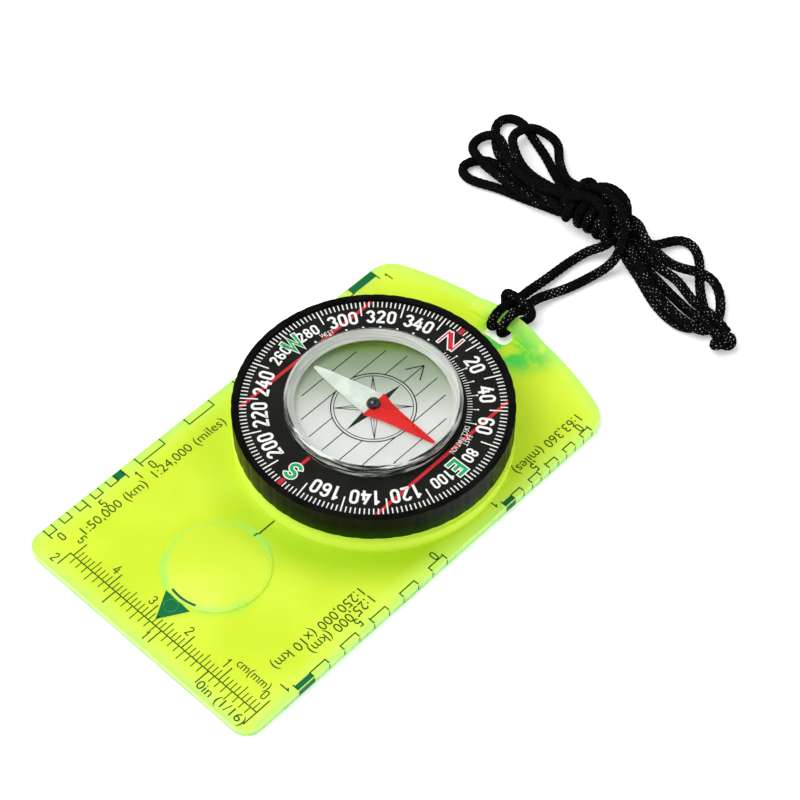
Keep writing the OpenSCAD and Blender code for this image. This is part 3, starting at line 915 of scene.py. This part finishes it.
def print_dial():
    red = Print("dial_red_lines", "dial", "dial_black", INK_RED, DIAL_TOP)
    chord_x, inner, mark, outer = 18.5, 17.7, 24.6, 26.2
    for side in (-1, 1):
        reach = math.sqrt(outer ** 2 - chord_x ** 2)
        red.line((side * chord_x, DIAL_Y - reach), (side * chord_x, DIAL_Y + reach), 0.7)
    red.line(bearing(inner, 180), bearing(20.2, 180), 0.7)
    for degrees in (180, 0):
        red.line(bearing(mark, degrees), bearing(outer, degrees), 0.9)
    red.done()

    white = Print("dial_graduation", "dial", "dial_black", INK_WHITE, DIAL_TOP + 0.01)
    for degrees in range(0, 360, 2):
        start, width = (22.6, 0.28) if degrees % 20 == 10 else (24.8, 0.24)
        if degrees % 180:
            white.line(bearing(start, degrees), bearing(outer, degrees), width)
    for degrees in range(10, 90, 10):
        white.dot(bearing(19.6, -degrees), 0.24)
    for degrees in range(4, 62, 2):
        long = degrees % 10 == 0
        white.line(bearing(18.3, degrees), bearing(20.2 if long else 19.3, degrees), 0.16)
        if long:
            white.dot(bearing(20.4, degrees), 0.2)
    spacing = 1.95
    for words, radius, middle in (
            ("DECLINATION", 19.0, 73.5), ("EAST", 20.2, 72.0), ("WEST", 20.2, -71.0)):
        for letter, away in spread(words):
            degrees = middle + away * spacing
            white.text(letter, bearing(radius, degrees), 1.05, -degrees, 0.75)
    white.done()

    figures = Print("dial_figures", "dial", "dial_black", INK_WHITE, DIAL_TOP + 0.02)
    beside_east_west = (80, 100, 260, 280)
    for degrees in range(20, 360, 20):
        if degrees != 180:
            figures.number(str(degrees), 22.3, degrees, 2.6 if degrees in beside_east_west else 3.3)
    north = Print("dial_north", "dial", "dial_black", INK_RED, DIAL_TOP + 0.04)
    others = Print("dial_east_south_west", "dial", "dial_black", INK_GREEN, DIAL_TOP + 0.04)
    high_mm, width, border = 3.9, 0.7, 0.24
    for letter, degrees in (("N", 0), ("E", 90), ("S", 180), ("W", 270)):
        place, colour = bearing(22.1, degrees), others if degrees else north
        figures.glyph(letter, place, high_mm, -degrees, width, border)
        colour.glyph(letter, place, high_mm, -degrees, width)
    figures.done()
    north.done()
    others.done()


def print_floor():
    """Meridian lines, the orienting arrow and the wind rose on the capsule's floor."""
    fine = Print("capsule_print", "dial", "capsule_floor", INK_FLOOR, FLOOR_TOP + 0.01)
    end, rose, apart, width = 14.4, 8.4, 4.05, 0.2
    for step in range(-3, 4):
        x = apart * step
        reach = math.sqrt(end ** 2 - x ** 2)
        if abs(x) < rose:
            stop = math.sqrt(rose ** 2 - x ** 2)
            spans = [(-reach, -stop), (stop, reach)]
        else:
            spans = [(-reach, reach)]
        for a, b in spans:
            fine.line((x, DIAL_Y + a), (x, DIAL_Y + b), width)
    for side in (-1, 1):
        fine.line((0, DIAL_Y + end), (side * 2, DIAL_Y + 11.1), 0.25)
    fine.ring((0, DIAL_Y), rose, 0.24, steps=96)
    fine.ring((0, DIAL_Y), 7.8, 0.16, steps=96)
    point = 7.7
    for degrees in range(0, 360, 90):
        tip, foot = bearing(point, degrees), bearing(2.2, degrees)
        left, right = bearing(2.6, degrees - 17), bearing(2.6, degrees + 17)
        if degrees % 180 == 0:
            fine.slab([tip, left, foot, right][::-1])
        else:
            fine.slab([tip, left, foot][::-1])
            fine.line(tip, right, 0.14)
            fine.line(foot, right, 0.14)
    for degrees in range(45, 360, 90):
        tip, foot = bearing(point, degrees), bearing(2.0, degrees)
        for side in (-12, 12):
            corner = bearing(3.0, degrees + side)
            fine.line(tip, corner, 0.14)
            fine.line(corner, foot, 0.14)
        fine.line(tip, foot, 0.12)
    fine.done()


def print_ruler(dark):
    """Centimetres above the line and inches below it, both counted from the +X end."""
    zero, base, inch = 28.2, -48.4, 25.4
    dark.line((zero + 0.1, base), (zero - 2 * inch - 0.1, base), 0.24)
    for mm in range(0, 51):
        long = 3.45 if mm % 10 == 0 else 2.7 if mm % 5 == 0 else 1.9
        dark.line((zero - mm, base), (zero - mm, base + long), 0.26 if mm % 10 == 0 else 0.2)
    for part in range(0, 33):
        long = 3.4 if part % 8 == 0 else 2.3 if part % 4 == 0 else 1.6
        x = zero - part * inch / 16
        dark.line((x, base), (x, base - long), 0.26 if part % 8 == 0 else 0.2)
    beside = 1.5
    for cm in range(0, 6):
        dark.glyph(str(cm), (zero - 10 * cm - beside, base + 3.6), 2.2, 0, 0.24)
    dark.text("cm(mm)", (zero - 6.0, base + 5.0), 1.9, 0, 0.9)
    dark.text("0in (1/16)", (zero - 6.2, base - 3.3), 1.9, 0, 1.15)
    for inches in (1, 2):
        dark.glyph(str(inches), (zero - inches * inch - beside, base - 2.6), 2.2, 0, 0.24)


def print_scale(dark, blocks, side, start, heading, unit, titles):
    """A map scale down one long edge: five open brackets and a filled block per unit, which
    also show in the clear side wall. side is -1 or 1, start and heading say where 0 is and
    which way it grows, unit is its length, and titles are words with their places."""
    if side < 0:
        edge, inner, tick, label, beside, turn = -30.35, -28.6, -27.6, -26.7, 1.6, 90
    else:
        edge, inner, tick, label, beside, turn = 30.4, 29.3, 28.9, 28.2, 1.3, -90
    half_mark, pitch = 0.12, 1.3

    def at(share):
        return start + heading * unit * share

    for tenth in (0, 2, 4, 6, 8):
        a, b = at(tenth / 10), at((tenth + 1) / 10)
        dark.stroke([(edge, a), (inner, a), (inner, b), (edge, b)], 0.26)
        for y in (a, b):
            dark.wall(side, y - half_mark, y + half_mark)
    a, b = sorted((at(0.9), at(1.0)))
    x0, x1 = sorted((edge, inner))
    blocks.slab([(x0, a), (x1, a), (x1, b), (x0, b)])
    blocks.wall(side, a, b)
    for share, words in ((0, "0"), (0.5, ".5"), (1, "1")):
        dark.line((edge, at(share)), (tick, at(share)), 0.28)
        for letter, away in spread(words):
            y = at(share) + heading * beside + away * pitch * -side
            dark.glyph(letter, (label, y), 2.2, turn, 0.27)
    for words, place in titles:
        dark.text(words, place, 2.1, turn)


def print_plate():
    dark = Print("plate_print", "plate", "tinted_plastic", INK_PLATE, PLATE_T)
    blocks = Print("plate_blocks", "plate", "tinted_plastic", INK_MARK, PLATE_T)
    print_ruler(dark)
    print_scale(dark, blocks, -1, -48.6, 1, 20, [("1:50,000 (km)", (-24.3, -35.4))])
    print_scale(dark, blocks, -1, -24.9, 1, 67.06, [("1:24,000 (miles)", (-24.3, -15.5))])
    print_scale(dark, blocks, 1, 42.5, -1, 25.4, [("1:63,360 (miles)", (26.0, 33.8))])
    print_scale(dark, blocks, 1, 0.2, -1, 40,
                [("1:25,000 (km)", (25.9, -24.3)), ("1:250,000 (x10 km)", (23.4, -27.9))])
    index_x, lens_edge, index_far, index_width = 0.3, LENS_Y + LENS_R, -16.3, 0.34
    dark.line((index_x, lens_edge), (index_x, index_far), index_width)
    dark.done()
    blocks.slab([(0.1, -47.4), (3.6, -41.8), (-3.2, -41.6)])
    blocks.done()
    on_lens = Print("lens_mark", "plate", "tinted_plastic", INK_MARK, PLATE_T + LENS_PRINT_RISE)
    # The short arc is a painted refraction of the triangle mark, seen in the lens's edge.
    on_lens.ring((0, LENS_Y), 9.8, 0.5, -103, -68, 24)
    on_lens.line((index_x, lens_edge), (index_x, lens_edge - 1), index_width)
    on_lens.done()
    pale = Print("triangle_ring", "plate", "tinted_plastic", INK_PALE, PLATE_T + 0.02)
    pale.ring((0, -43.4), 1.4, 0.08, steps=40)
    pale.done()


print_dial()
print_floor()
print_plate()


# ---------------- floor and light
def make_stage():
    """A large white table just under the plate."""
    s = Surface("table", Roughness=0.6, Emission_Strength=0.3, Emission_Color=(1, 1, 1, 1))
    s.set("Base Color", s.mix(s.noise(60, 3), rgb(246, 246, 246), rgb(252, 252, 252)))
    half, z = 3, -0.00002
    corners = [(-half, -half, z), (half, -half, z), (half, half, z), (-half, half, z)]
    mesh = bpy.data.meshes.new("table")
    mesh.from_pydata(corners, [], [(0, 1, 2, 3)])
    table = bpy.data.objects.new("table", mesh)
    bpy.context.scene.collection.objects.link(table)
    mesh.materials.append(s.material)


def make_sky():
    """A bright horizon under a dimmer ceiling, so that level faces carry little glare."""
    world = bpy.data.worlds.new("studio")
    bpy.context.scene.world = world
    world.use_nodes = True
    nodes, links = world.node_tree.nodes, world.node_tree.links
    parts = nodes.new("ShaderNodeSeparateXYZ")
    links.new(nodes.new("ShaderNodeTexCoord").outputs["Generated"], parts.inputs[0])
    fade = nodes.new("ShaderNodeMapRange")
    fade.interpolation_type = "SMOOTHSTEP"
    for name, value in (("From Min", 0.25), ("From Max", 0.7), ("To Min", 1.1), ("To Max", 0.3)):
        fade.inputs[name].default_value = value
    links.new(parts.outputs[2], fade.inputs["Value"])
    links.new(fade.outputs["Result"], nodes["Background"].inputs["Strength"])
    nodes["Background"].inputs["Color"].default_value = (0.98, 0.99, 1, 1)


def softbox(name, place, size, power):
    """A rectangular lamp in metres and watts that shines at the origin."""
    data = bpy.data.lights.new(name, "AREA")
    data.shape = "RECTANGLE"
    data.size, data.size_y = size
    data.energy = power
    lamp = bpy.data.objects.new(name, data)
    bpy.context.scene.collection.objects.link(lamp)
    place = Vector(place)
    lamp.matrix_world = Matrix.Translation(place) @ (-place).to_track_quat("-Z", "Y").to_matrix().to_4x4()


make_stage()
make_sky()
softbox("key", (-0.3, -0.35, 1.05), (1.0, 1.0), 12)
bpy.context.scene.view_settings.view_transform = "Standard"
